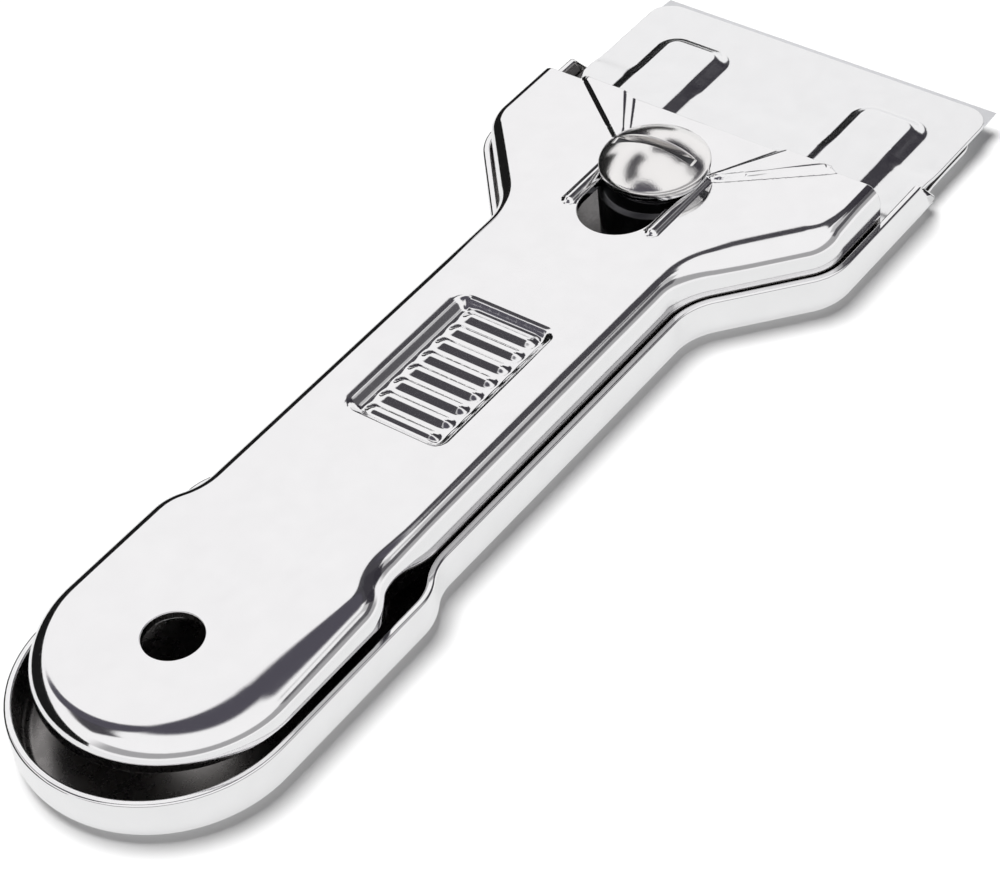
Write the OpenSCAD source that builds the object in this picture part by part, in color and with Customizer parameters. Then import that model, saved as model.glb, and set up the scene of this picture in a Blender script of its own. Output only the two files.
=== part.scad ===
// Razor blade scraper of pressed steel, with a blade carrier that slides between two shells.
// +X points to the cutting edge and +Z up. The origin is under the middle of the whole length,
// on the surface that the lower shell rests on.

/* [Lower shell] */
// Length of the lower shell, from its round rear end to its open mouth
tray_length = 101; // [92:0.5:125]
// Thickness of the pressed steel sheet of both shells
sheet = 0.8; // [0.6:0.05:1]
// Height of the lower shell's wall
tray_wall = 4.5; // [4:0.1:6]
// Outer radius of the bend between the floor and the wall
tray_bend = 1.7; // [1.2:0.1:1.8]
// Width across the round rear end
lobe_width = 25.8; // [24:0.2:30]
// Width along the handle
handle_width = 22.4; // [20:0.2:24]
// Distance from the rear end to where the waist starts
waist_start = 31; // [28:0.5:40]
// Sine of the waist's angle to the handle
waist_sine = 0.5376; // [0.28, 0.352, 0.5376, 0.6]
// Room between the end of the flare and the shoulders of the carrier when it is drawn back
flare_room = 1.6; // [0.8:0.1:6]
// Radius of both bends of the flare
flare_bend = 6; // [5:0.2:8]
// Sine of the flare's angle to the handle
flare_sine = 0.658944; // [0.5376, 0.6, 0.658944, 0.8]
// Distance by which the top of the wall stops short of the mouth
wall_rake = 2.5; // [0:0.1:4]

/* [Cover] */
// Height from the base to the flat top of the cover
case_height = 8; // [7.6:0.1:10]
// Outer radius of the cover's shoulder
cover_bend = 1.6; // [1:0.1:2]
// Distance from the mouth back to the cover's front edge
cover_setback = 8.4; // [6:0.1:10]
// Distance by which the cover's round end lies ahead of the lower shell's
rear_setback = 2.3; // [1:0.1:3]
// Distance by which the cover's waist starts behind the lower shell's
waist_lead = 5.2; // [3:0.1:6]
// Depth of the cover's skirt round the rear end, where it stays above the lower shell
rear_skirt = 2.8; // [2.4:0.1:3.2]
// Clearance between the nested walls of the shells
nest_gap = 0.02; // [0.01:0.01:0.1]
// Diameter of the hang hole through both shells
hang_hole = 5.3; // [4:0.1:6.5]

/* [Thumb grip] */
// Length of the sunken thumb grip
grip_length = 17.8; // [14:0.2:22]
// Width of the sunken thumb grip
grip_width = 11; // [8:0.2:13]
// Depth of the sunken thumb grip
grip_depth = 0.9; // [0.5:0.1:1.2]
// Distance from the rear end to the middle of the thumb grip
grip_place = 52.5; // [48:0.5:56]
// Number of cross ribs in the thumb grip
grip_ribs = 8; // [5:1:9]

/* [Slot and rails] */
// Travel of the blade carrier
travel = 6.1; // [4:0.1:8]
// Distance from the mouth back to the clamp screw with the blade out
screw_setback = 16.8; // [15:0.1:20]
// Diameter of the bush neck that runs in the slot
neck_width = 7.4; // [6.6:0.1:7.6]
// Clearance round the bush neck in the slot
neck_gap = 0.1; // [0.05:0.01:0.2]
// Width of the raised rail on each side of the slot
rail_width = 1.3; // [1:0.1:1.5]
// Height of the rails above the cover
rail_height = 0.4; // [0.2:0.05:0.5]
// Height of the splayed ribs at the cover's front edge
splay_height = 0.8; // [0.6:0.1:1.2]
// Width of the splayed ribs at the cover's front edge
splay_width = 6.6; // [4:0.1:7]

/* [Blade carrier] */
// Clearance between each side of the carrier and the wall of the head
carrier_gap = 0.15; // [0.05:0.05:0.5]
// Distance by which the carrier's plates stand out beyond each end of the blade
carrier_lap = 0.2; // [0.1:0.05:0.5]
// Thickness of the carrier's plates
plate = 0.4; // [0.35:0.05:0.5]
// Distance by which the upper plate stops behind the cutting edge
upper_back = 1; // [0.6:0.1:2]
// Distance by which the lower plate stops behind the cutting edge
lower_back = 4; // [2:0.1:6]
// Distance by which the full-width part of the carrier goes on behind the blade
jaw_lap = 2; // [1.6:0.1:2.8]
// Width of the carrier's tongue
tongue_width = 16; // [13:0.2:18]
// Length of the tongue behind the screw
tongue_tail = 8; // [7:0.1:12]
// Radius of the carrier's front corners
corner = 2.5; // [1:0.1:4]
// Width of each long raised rib of the upper plate
rib_width = 8.4; // [6:0.1:9]
// Height of the ribs of the upper plate
rib_height = 0.7; // [0.4:0.05:1]
// Distance between the centre lines of the two ribs
rib_spacing = 22.6; // [18:0.2:24]
// Distance from the cutting edge back to the front of the ribs
rib_back = 5.4; // [4:0.1:7]

/* [Blade] */
// Width of the single-edge blade
blade_width = 38.1; // [34:0.1:46]
// Depth of the blade from its back to its cutting edge
blade_depth = 19; // [18:0.1:20]
// Thickness of the blade
blade = 0.23; // [0.2:0.01:0.3]
// Length of the ground bevel
bevel = 1.4; // [0.8:0.1:2]
// Distance from the mouth to the cutting edge with the blade out
blade_reach = 13.5; // [12:0.1:16]
// Depth of the folded strip on the back of the blade
spine_depth = 4.6; // [4:0.1:5]
// Thickness of the folded strip
spine_sheet = 0.25; // [0.2:0.01:0.3]

/* [Clamp screw] */
// Diameter of the screw's domed head
head_diameter = 10.5; // [10:0.1:12]
// Height of the dome
dome_height = 2; // [1.4:0.1:2.6]
// Height of the head's straight edge
head_edge = 0.65; // [0.4:0.05:1]
// Nominal diameter of the screw's thread
thread = 4.9; // [3.9:0.1:5.5]
// Radial clearance of the screw in the bush
thread_gap = 0.05; // [0.02:0.01:0.1]
// Width of the driver slot
driver_width = 1; // [0.8:0.1:1.4]
// Depth of the driver slot
driver_depth = 1.2; // [0.8:0.1:1.6]
// Turn of the driver slot away from straight across
driver_turn = 6; // [0:1:90]
// Diameter of the washer under the head
washer_diameter = 10; // [9.4:0.1:10.4]
// Thickness of the washer
washer_sheet = 0.5; // [0.4:0.05:0.8]

/* [Hidden] */
$fn = 96;
hull_faces = 32;
bend_steps = 16;
wedge = 100;
cut = 1;
// Thickness of the slices that a hull joins
slice = 0.02;

chrome = [0.86, 0.87, 0.88];
plated = [0.8, 0.81, 0.83];
steel = [0.62, 0.64, 0.67];

// The blade sets the width of its carrier, and the carrier that of the head it slides in
carrier_width = blade_width + 2 * carrier_lap;
head_width = carrier_width + 2 * (carrier_gap + sheet);

rear = -(tray_length + blade_reach) / 2;
mouth = rear + tray_length;
edge = mouth + blade_reach;
screw_x = mouth - screw_setback;
cover_front = mouth - cover_setback;
hole_x = rear + lobe_width / 2 + rear_setback;
grip_x = rear + grip_place;

// Flat part of a pressed section beyond its bend, which laps the middle plate of the shell
lap = 0.8;
inner_sheet = sheet + nest_gap;

// Carrier heights, from the floor of the lower shell up
floor_gap = 0.43;
seat_gap = 0.02;
slide_gap = 0.05;
foot_z = sheet + slide_gap;
spine_height = blade + 2 * (spine_sheet + seat_gap);
channel_depth = (spine_height - blade) / 2 + seat_gap;
channel_ramp = 0.5;
channel_room = 0.3;
lower_z = sheet + floor_gap + channel_depth;
blade_z = lower_z + plate + seat_gap;
upper_z = blade_z + blade + seat_gap;
upper_top = upper_z + plate;
skirt_gap = 0.35;
skirt_z = upper_top + channel_depth + skirt_gap;
blade_rear = edge - blade_depth;
jaw_rear = blade_rear - jaw_lap;
tongue_rear = screw_x - tongue_tail;
taper_length = 8.5;
tongue_corner = 3;

// Bush and rivets, worked out from the plates that they join
tail_wall = 0.4;
tail_width = thread + 2 * (thread_gap + tail_wall);
bush_lip = 1.8;
bush_width = neck_width + 2 * bush_lip;
foot_lip = 1.3;
bush_foot = tail_width + 2 * foot_lip;
rivet_width = 2.4;
rivet_head = 4.2;
rivet_dome = 0.6;
rivet_room = 0.2;
rivet_y = 9.5;

// Heights of the washer and the head above the rails
washer_z = case_height + rail_height + slide_gap;
head_z = washer_z + washer_sheet + seat_gap;
thread_end = 2.6;
thread_chamfer = 0.5;

// These sines have cosines that are short decimals too, so that runs and bends meet exactly
waist_angle = asin(waist_sine);
flare_angle = asin(flare_sine);

// The flare ends behind the carrier's shoulders, also when the carrier is drawn back
flare_rise = 2 * flare_bend * (1 - cos(flare_angle));
flare_run = ((head_width - handle_width) / 2 - flare_rise) / sin(flare_angle);
flare_reach = 2 * flare_bend * sin(flare_angle) + flare_run * cos(flare_angle);
flare_end = jaw_rear - travel - flare_room - rear;
flare_start = flare_end - flare_reach;

// A pose is [x, y, heading]. A move is [length, 0] for a straight run, or [radius, angle] for a
// bend, with an angle over zero where the outline turns to its left.
function along(pose, move, share) =
    move[1] == 0
        ? [pose[0] + move[0] * share * cos(pose[2]), pose[1] + move[0] * share * sin(pose[2]), pose[2]]
        : let (side = sign(move[1]) * move[0], turned = pose[2] + move[1] * share)
            [pose[0] - side * sin(pose[2]) + side * sin(turned),
             pose[1] + side * cos(pose[2]) - side * cos(turned),
             turned];

function poses(start, moves) =
    [for (i = 0, pose = start; i <= len(moves);
          pose = i < len(moves) ? along(pose, moves[i], 1) : pose, i = i + 1) pose];

// Points of the outline, set in from it by inset, from the rear point to the mouth
function outline(start, moves, inset) =
    let (at = poses(start, moves))
    [for (i = [0 : len(moves) - 1])
        let (steps = moves[i][1] == 0 ? 1 : bend_steps)
        for (k = [(i == 0 ? 0 : 1) : steps])
            let (p = along(at[i], moves[i], k / steps))
            [p[0] + inset * sin(p[2]), p[1] - inset * cos(p[2])]];

// Radius of two equal and opposite bends through an angle that shift the outline by offset
function shift_radius(offset, angle) = offset / (2 * (1 - cos(angle)));

// The left half of a shell's outline: round end, waist, handle, flare and head. Lobe and handle
// are half widths, and ahead is how far its round end lies ahead of the lower shell's. A shell
// that nests in another one by inset has the same centres of its flare, so its radii differ. The
// last run goes past the shell's front end, which is cut square.
function shell_moves(lobe, waist_run, handle, length, inset, ahead) =
    let (waist = shift_radius(lobe - handle, waist_angle),
         waist_end = ahead + waist_run + 2 * waist * sin(waist_angle))
    [[lobe, -90],
     [waist_run - lobe, 0],
     [waist, -waist_angle],
     [waist, waist_angle],
     [flare_start - waist_end, 0],
     [flare_bend + inset, flare_angle],
     [flare_run, 0],
     [flare_bend - inset, -flare_angle],
     [length - flare_end + cut, 0]];

tray_start = [rear, 0, 90];
tray_moves = shell_moves(lobe_width / 2, waist_start, handle_width / 2, tray_length, 0, 0);

cover_lobe = lobe_width / 2 - inner_sheet;
cover_ahead = lobe_width / 2 + rear_setback - cover_lobe;
cover_start = [rear + cover_ahead, 0, 90];
cover_moves = shell_moves(cover_lobe, waist_start - waist_lead - cover_ahead,
                          handle_width / 2 - inner_sheet, tray_length - cover_setback,
                          inner_sheet, cover_ahead);

// The part of a turned shape that a bend takes: from the direction start, through an angle
module bend_part(start, angle) {
    intersection() {
        rotate([0, 0, 180]) rotate_extrude() children();
        translate([0, 0, -cut]) linear_extrude(case_height + 2 * cut)
            polygon([[0, 0], [0, start * wedge], [wedge * sin(angle), start * wedge * cos(angle)]]);
    }
}

// One run or bend of a sweep. The section's x is the distance out of the outline.
module swept_move(move) {
    if (move[1] == 0)
        rotate([90, 0, 90]) linear_extrude(move[0]) children();
    else if (move[1] < 0)
        translate([0, -move[0], 0]) bend_part(1, -move[1]) translate([move[0], 0]) children();
    else
        translate([0, move[0], 0])
            bend_part(-1, move[1]) translate([move[0], 0]) mirror([1, 0]) children();
}

module after_move(move) {
    side = sign(move[1]) * move[0];
    if (move[1] == 0)
        translate([move[0], 0, 0]) children();
    else
        translate([0, side, 0]) rotate([0, 0, move[1]]) translate([0, -side, 0]) children();
}

// Sweeps a flat section along the outline, each move starting where the one before it ends
module sweep(moves, first = 0) {
    if (first < len(moves)) {
        swept_move(moves[first]) children();
        after_move(moves[first]) sweep(moves, first + 1) children();
    }
}

module both_sides() {
    children();
    mirror([0, 1, 0]) children();
}

// Section of a pressed tray: flat floor, bend and upright wall, with the outside at x = 0
module tray_section(height, bend) {
    translate([-sheet, bend]) square([sheet, height - bend]);
    translate([-bend - lap, 0]) square([lap, sheet]);
    intersection() {
        translate([-bend, 0]) square([bend, bend]);
        translate([-bend, bend]) difference() {
            circle(bend);
            circle(bend - sheet);
        }
    }
}

// A pressed shell with its floor on z = 0 and its walls upward
module pressed_tray(start, moves, height, bend) {
    both_sides() translate([start[0], start[1], 0]) rotate([0, 0, start[2]])
        sweep(moves) tray_section(height, bend);
    half = outline(start, moves, bend + lap / 2);
    count = len(half);
    linear_extrude(sheet)
        polygon(concat(half, [for (i = [count - 1 : -1 : 1]) [half[i][0], -half[i][1]]]));
}

// Extrudes a side view, drawn in x and z, over a width centred on y = 0
module side_extrude(width) {
    translate([0, width / 2, 0]) rotate([90, 0, 0]) linear_extrude(width) children();
}

module round_rect(size_x, size_y, radius) {
    square([size_x - 2 * radius, size_y], center = true);
    square([size_x, size_y - 2 * radius], center = true);
    for (sx = [-1, 1], sy = [-1, 1])
        translate([sx * (size_x / 2 - radius), sy * (size_y / 2 - radius)]) circle(radius);
}

module hang_bore() {
    translate([hole_x, 0, -cut]) cylinder(h = case_height + 2 * cut, d = hang_hole);
}

module bottom_shell() {
    color(chrome) difference() {
        pressed_tray(tray_start, tray_moves, tray_wall, tray_bend);
        hang_bore();
        // The front ends of the walls rake back from the bend to the rim
        side_extrude(head_width + 2 * cut)
            polygon([[mouth, -cut], [mouth, tray_bend], [mouth - wall_rake, tray_wall],
                     [mouth - wall_rake, tray_wall + cut], [mouth + 2 * cut, tray_wall + cut],
                     [mouth + 2 * cut, -cut]]);
    }
}

// Round-ended bar lying along x from x0 to x1, its axis at height z
module bar(x0, x1, z, radius) {
    translate([x0, 0, z]) rotate([0, 90, 0]) cylinder(h = x1 - x0, r = radius);
    for (x = [x0, x1]) translate([x, 0, z]) sphere(radius);
}

neck = neck_width / 2 + neck_gap;
rail_radius = (rail_width * rail_width / 4 + rail_height * rail_height) / (2 * rail_height);
rail_margin = 0.2;
rail_y = neck + rail_margin + rail_width / 2;
rail_rear = screw_x - travel - rail_width;
rail_front = screw_x + rail_width;

module rail() {
    intersection() {
        bar(rail_rear, rail_front, case_height + rail_height - rail_radius, rail_radius);
        translate([rail_rear - rail_width, -rail_width, case_height - sheet / 2])
            cube([rail_front - rail_rear + 2 * rail_width, 2 * rail_width, sheet]);
    }
}

splay_y = rib_spacing / 2;
splay_ramp = 1.4;
splay_start = 0.25;

// A splayed rib as a solid wedge: from the end of the rail to a wide ridge at the front edge
module splay(grow, top, bottom) {
    hull() {
        translate([rail_front, rail_y, case_height - bottom])
            cylinder(h = bottom + splay_start - top, r = rail_width / 2 - grow, $fn = hull_faces);
        translate([cover_front + (grow > 0 ? cut : 0), splay_y, 0]) rotate([90, 0, 90])
            linear_extrude(slice)
                polygon([[-splay_width / 2 + grow, case_height - bottom],
                         [-splay_width / 2 + grow, case_height - top],
                         [-splay_width / 2 + splay_ramp + grow / 2, case_height + splay_height - top],
                         [splay_width / 2 - splay_ramp - grow / 2, case_height + splay_height - top],
                         [splay_width / 2 - grow, case_height - top],
                         [splay_width / 2 - grow, case_height - bottom]]);
    }
}

grip_corner = 1.5;
grip_margin = 1.2;
grip_rib = 0.55;
grip_rib_sink = 0.14;
grip_pitch = (grip_length - 2 * grip_margin - 2 * grip_rib) / (grip_ribs - 1);
grip_floor = case_height - grip_depth;

module grip_ridges() {
    for (i = [0 : grip_ribs - 1])
        translate([grip_x - grip_length / 2 + grip_margin + grip_rib + i * grip_pitch, 0, 0])
            rotate([0, 0, 90])
                bar(-grip_width / 2 + grip_margin + grip_rib, grip_width / 2 - grip_margin - grip_rib,
                    grip_floor - grip_rib_sink, grip_rib);
}

module top_shell() {
    color(chrome) difference() {
        union() {
            difference() {
                union() {
                    translate([0, 0, case_height]) mirror([0, 0, 1])
                        pressed_tray(cover_start, cover_moves, case_height - skirt_z, cover_bend);
                    both_sides() {
                        translate([0, rail_y, 0]) rail();
                        splay(0, 0, sheet);
                    }
                    translate([grip_x, 0, grip_floor - sheet])
                        linear_extrude(grip_depth)
                            round_rect(grip_length + 2 * sheet, grip_width + 2 * sheet,
                                       grip_corner + sheet);
                }
                // Hollow undersides of the splayed ribs
                both_sides() splay(sheet / 2, sheet, sheet + cut);
                translate([grip_x, 0, grip_floor])
                    linear_extrude(grip_depth + cut) round_rect(grip_length, grip_width, grip_corner);
            }
            grip_ridges();
        }
        hang_bore();
        // Slot for the neck of the bush
        translate([0, 0, case_height - sheet - cut]) linear_extrude(sheet + splay_height + 2 * cut) {
            translate([screw_x - travel, -neck]) square([travel, 2 * neck]);
            for (x = [screw_x - travel, screw_x]) translate([x, 0]) circle(neck);
        }
        // Behind the waist the skirt ends above the lower shell's rim
        side_extrude(lobe_width)
            polygon([[rear, skirt_z - cut],
                     [rear + waist_start + 2 * waist_lead, skirt_z - cut],
                     [rear + waist_start + waist_lead, skirt_z],
                     [rear + waist_start, tray_wall],
                     [rear + waist_start - waist_lead, case_height - rear_skirt],
                     [rear, case_height - rear_skirt]]);
        // The shell and its splayed ribs end flush at the front edge
        translate([cover_front, -head_width / 2, 0])
            cube([2 * cut, head_width, case_height + splay_height + cut]);
    }
}

// Outline of a carrier plate that ends at front
module carrier_outline(front) {
    half = tongue_width / 2;
    wide = carrier_width / 2;
    polygon([[tongue_rear + tongue_corner, half], [jaw_rear - taper_length, half], [jaw_rear, wide],
             [front - corner, wide], [front - corner, -wide], [jaw_rear, -wide],
             [jaw_rear - taper_length, -half], [tongue_rear + tongue_corner, -half]]);
    translate([front - corner, 0]) square([2 * corner, carrier_width - 2 * corner], center = true);
    for (side = [-1, 1]) translate([front - corner, side * (wide - corner)]) circle(corner);
    translate([tongue_rear + tongue_corner, 0])
        square([2 * tongue_corner, tongue_width - 2 * tongue_corner], center = true);
    for (side = [-1, 1])
        translate([tongue_rear + tongue_corner, side * (half - tongue_corner)]) circle(tongue_corner);
}

channel_rear = blade_rear - channel_room;
channel_front = blade_rear + spine_depth + channel_room;

// Side view of the channel for the blade's spine, set in by grow and standing up from z = 0
module channel_view(grow, below) {
    polygon([[channel_rear - channel_ramp + grow, -below], [channel_rear - channel_ramp + grow, 0],
             [channel_rear + grow / 2, channel_depth], [channel_front - grow / 2, channel_depth],
             [channel_front + channel_ramp - grow, 0], [channel_front + channel_ramp - grow, -below]]);
}

// A flat carrier plate lying on z = 0, with any ribs and the channel for the spine standing up
module channelled_plate(front) {
    difference() {
        union() {
            linear_extrude(plate) carrier_outline(front);
            translate([0, 0, plate]) side_extrude(carrier_width) channel_view(0, plate);
            children();
        }
        side_extrude(carrier_width + cut) channel_view(plate / 2, cut);
    }
}

module joint_bores(z0, z1) {
    translate([screw_x, 0, z0]) cylinder(h = z1 - z0, d = tail_width + 2 * seat_gap);
    for (side = [-1, 1])
        translate([rivet_x, side * rivet_y, z0]) cylinder(h = z1 - z0, d = rivet_width + 2 * seat_gap);
}

module carrier_lower_plate() {
    color(plated) difference() {
        translate([0, 0, lower_z + plate]) mirror([0, 0, 1]) channelled_plate(edge - lower_back);
        joint_bores(lower_z - cut, lower_z + plate + cut);
    }
}

rib_front = edge - rib_back;
rib_corner = 2.4;
rib_ramp = 1.6;
rib_rear = channel_rear - channel_ramp - rib_ramp;
rivet_x = rib_rear - rivet_room - rivet_head / 2;

// A long raised rib with sloping sides, its sides set in by grow, from height z0 to z1
module carrier_rib(grow, z0, z1) {
    length = rib_front - rib_rear;
    hull() {
        translate([rib_rear + length / 2, 0, z0 - slice]) linear_extrude(slice)
            round_rect(length - 2 * grow, rib_width - 2 * grow, rib_corner - grow, $fn = hull_faces);
        translate([rib_rear + length / 2, 0, z1 - slice]) linear_extrude(slice)
            round_rect(length - 2 * rib_ramp - grow, rib_width - 2 * rib_ramp - grow,
                       rib_corner - rib_ramp, $fn = hull_faces);
    }
}

module carrier_upper_plate() {
    color(plated) difference() {
        translate([0, 0, upper_z]) channelled_plate(edge - upper_back)
            both_sides() translate([0, rib_spacing / 2, 0]) carrier_rib(0, plate, plate + rib_height);
        both_sides() translate([0, rib_spacing / 2, upper_z])
            carrier_rib(plate / 2, 0, rib_height);
        joint_bores(upper_z - cut, upper_top + cut);
    }
}

module razor_blade() {
    color(steel) side_extrude(blade_width)
        polygon([[blade_rear, blade_z], [edge - bevel, blade_z], [edge, blade_z + blade / 2],
                 [edge - bevel, blade_z + blade], [blade_rear, blade_z + blade]]);
}

module blade_spine() {
    middle = blade_z + blade / 2;
    fold = spine_height / 2;
    back = blade_rear - spine_sheet - seat_gap;
    color(steel) side_extrude(blade_width) difference() {
        union() {
            translate([back + fold, middle]) circle(fold);
            translate([back + fold, middle - fold])
                square([spine_depth - fold, spine_height]);
        }
        translate([blade_rear - seat_gap, blade_z - seat_gap])
            square([spine_depth + cut, blade + 2 * seat_gap]);
    }
}

module guide_bush() {
    shoulder = case_height - sheet - slide_gap;
    bore = thread / 2 + thread_gap;
    chamfer = plate;
    color(plated) translate([screw_x, 0, 0]) rotate_extrude()
        polygon([[bore, foot_z], [bush_foot / 2, foot_z],
                 [bush_foot / 2, lower_z - seat_gap], [tail_width / 2, lower_z - seat_gap],
                 [tail_width / 2, upper_top + seat_gap], [bush_width / 2 - chamfer, upper_top + seat_gap],
                 [bush_width / 2, upper_top + seat_gap + chamfer], [bush_width / 2, shoulder - chamfer],
                 [bush_width / 2 - chamfer, shoulder], [neck_width / 2, shoulder],
                 [neck_width / 2, case_height - slide_gap], [bore, case_height - slide_gap]]);
}

module carrier_rivet() {
    head = upper_top + seat_gap;
    shank = head - lower_z + 2 * seat_gap;
    translate([0, 0, lower_z - seat_gap]) cylinder(h = shank, d = rivet_width);
    translate([0, 0, foot_z]) cylinder(h = lower_z - seat_gap - foot_z, d = rivet_head);
    dome_radius = (rivet_head * rivet_head / 4 + rivet_dome * rivet_dome) / (2 * rivet_dome);
    intersection() {
        translate([0, 0, head + rivet_dome - dome_radius]) sphere(dome_radius);
        translate([0, 0, head]) cylinder(h = rivet_dome + cut, d = rivet_head);
    }
}

module rivet_left() {
    color(plated) translate([rivet_x, rivet_y, 0]) carrier_rivet();
}

module rivet_right() {
    color(plated) translate([rivet_x, -rivet_y, 0]) carrier_rivet();
}

module washer() {
    color(chrome) translate([screw_x, 0, washer_z]) difference() {
        cylinder(h = washer_sheet, d = washer_diameter);
        translate([0, 0, -cut]) cylinder(h = washer_sheet + 2 * cut, r = thread / 2 + thread_gap);
    }
}

module clamp_screw() {
    radius = head_diameter / 2;
    dome_radius = (radius * radius + dome_height * dome_height) / (2 * dome_height);
    dome_z = head_z + head_edge;
    color(chrome) translate([screw_x, 0, 0]) {
        difference() {
            union() {
                translate([0, 0, head_z]) cylinder(h = head_edge, r = radius);
                intersection() {
                    translate([0, 0, dome_z + dome_height - dome_radius]) sphere(dome_radius);
                    translate([0, 0, dome_z]) cylinder(h = dome_height + cut, r = radius);
                }
            }
            rotate([0, 0, driver_turn])
                translate([-driver_width / 2, -radius - cut, dome_z + dome_height - driver_depth])
                    cube([driver_width, head_diameter + 2 * cut, driver_depth + cut]);
        }
        translate([0, 0, thread_end]) cylinder(h = head_z - thread_end, d = thread);
        translate([0, 0, thread_end - thread_chamfer])
            cylinder(h = thread_chamfer, r1 = thread / 2 - thread_chamfer, r2 = thread / 2);
    }
}

bottom_shell();
top_shell();
carrier_lower_plate();
carrier_upper_plate();
razor_blade();
blade_spine();
guide_bush();
rivet_left();
rivet_right();
washer();
clamp_screw();
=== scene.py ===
# Looks of the razor blade scraper: bright pressed shells, blade carrier, blade and clamp screw.
# Lengths of the shapes are in millimetres and become metres when a mesh is made.
import math

import bpy
import numpy as np
from mathutils import Matrix, Vector
from mathutils.geometry import delaunay_2d_cdt


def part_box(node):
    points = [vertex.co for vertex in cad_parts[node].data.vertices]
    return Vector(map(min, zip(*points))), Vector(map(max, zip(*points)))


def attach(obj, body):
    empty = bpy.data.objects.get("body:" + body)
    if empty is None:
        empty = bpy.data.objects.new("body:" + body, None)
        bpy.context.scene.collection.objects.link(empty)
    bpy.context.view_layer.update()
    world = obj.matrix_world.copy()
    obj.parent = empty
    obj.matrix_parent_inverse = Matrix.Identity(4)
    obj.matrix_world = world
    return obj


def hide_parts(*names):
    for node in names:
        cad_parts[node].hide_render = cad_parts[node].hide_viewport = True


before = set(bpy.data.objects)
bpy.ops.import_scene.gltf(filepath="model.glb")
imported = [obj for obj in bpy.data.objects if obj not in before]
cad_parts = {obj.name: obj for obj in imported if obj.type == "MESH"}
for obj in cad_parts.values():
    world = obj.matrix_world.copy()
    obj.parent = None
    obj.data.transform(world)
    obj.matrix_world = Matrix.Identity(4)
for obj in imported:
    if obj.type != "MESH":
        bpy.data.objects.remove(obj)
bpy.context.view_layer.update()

MM = 0.001


# Camera, at the photograph's viewing angle

def make_camera():
    yaw = math.radians(40.93)
    pitch = math.radians(-43.15)
    roll = math.radians(-6.64)
    place = Vector((-149.99, -130.66, 182.39)) * MM
    forward = Vector((math.cos(yaw) * math.cos(pitch), math.sin(yaw) * math.cos(pitch), math.sin(pitch)))
    level = Vector((math.sin(yaw), -math.cos(yaw), 0))
    upright = level.cross(forward)
    right = math.cos(roll) * level + math.sin(roll) * upright
    up = math.cos(roll) * upright - math.sin(roll) * level
    data = bpy.data.cameras.new("camera")
    data.sensor_width = 36
    data.lens = 108
    data.clip_start = 0.01
    camera = bpy.data.objects.new("camera", data)
    turn = Matrix((right, up, -forward)).transposed().to_4x4()
    camera.matrix_world = Matrix.Translation(place) @ turn
    bpy.context.collection.objects.link(camera)
    bpy.context.scene.camera = camera


make_camera()


# Sizes, read from the frame where it has them

def span(node, axis):
    low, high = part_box(node)
    return low[axis] / MM, high[axis] / MM


rear, mouth = span("bottom_shell", 0)
cover_rear, cover_front = span("top_shell", 0)
edge = span("razor_blade", 0)[1]
lobe_width = 25.8
handle_width = 22.4
head_width = span("bottom_shell", 1)[1] * 2
sheet = 0.8
cover_inset = 0.95
tray_wall = span("bottom_shell", 2)[1]
tray_bend = 1.7
wall_rake = 2.5
waist_start = 31
waist_lead = 5.2
waist_angle = math.asin(0.5376)
flare_bend = 6
flare_angle = math.asin(0.658944)
carrier_corner = 36.25
travel = 6.1
flare_room = 1.6
flare_end = carrier_corner - travel - flare_room - rear
shoulder_fall = 1.9
case_height = 8
skirt_z = span("top_shell", 2)[0]
rear_skirt = 2.8
hole_x = -42.05
hole_radius = 2.65

screw_x = sum(span("clamp_screw", 0)) / 2
slot_half = 3.8
rail_y = 4.65
rail_half = 0.65
rail_height = 0.4
rail_reach = 1.3
rail_rear = screw_x - travel - rail_reach
rail_front = screw_x + rail_reach
rib_spacing = 22.6
splay_height = 0.6
splay_half = 3.3
inner_flank = 1.3
outer_flank = 0.9
splay_rise = 0.12

grip_x = -4.75
grip_length = 17.8
grip_width = 11
grip_corner = 1.5
grip_depth = 0.9
grip_slope = 1.35
grip_ribs = 8
grip_margin = 1.2
grip_rib = 0.62
grip_rib_height = 0.3


# Meshes

def thicken(piece, thickness, rounding, segments):
    """Makes a sheet of an outer face, and rounds only its cut edges."""
    mesh = piece.data
    solid = piece.modifiers.new("sheet", "SOLIDIFY")
    solid.thickness = thickness * MM
    solid.offset = -1
    solid.use_quality_normals = True
    # Inner faces take a duller steel whose dark colour is painted shade inside the case and between the
    # carrier plates.
    solid.material_offset = 1
    mesh.materials.append(painted_shade_inner)
    face_edges = np.zeros(len(mesh.loops), dtype=np.int32)
    mesh.loops.foreach_get("edge_index", face_edges)
    cut = np.bincount(face_edges, minlength=len(mesh.edges)) == 1
    weight = mesh.attributes.new("bevel_weight_edge", "FLOAT", "EDGE")
    weight.data.foreach_set("value", cut.astype(np.float32))
    bevel = piece.modifiers.new("edges", "BEVEL")
    bevel.width = rounding * MM
    bevel.segments = segments
    bevel.limit_method = "WEIGHT"
    bevel.harden_normals = True
    bevel.use_clamp_overlap = False


def add_mesh(name, points, faces, material, body, node, thickness=0.0, rounding=0.0, segments=2):
    """A smooth piece that stands for a CAD node. Points are in millimetres.

    With a thickness, they are the outer face of a sheet."""
    mesh = bpy.data.meshes.new(name)
    mesh.from_pydata([(x * MM, y * MM, z * MM) for x, y, z in points], [], faces)
    mesh.validate()
    mesh.polygons.foreach_set("use_smooth", [True] * len(mesh.polygons))
    mesh.materials.append(material)
    piece = bpy.data.objects.new(name, mesh)
    bpy.context.collection.objects.link(piece)
    if thickness:
        thicken(piece, thickness, rounding, segments)
    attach(piece, body)
    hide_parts(node)
    return piece


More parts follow.
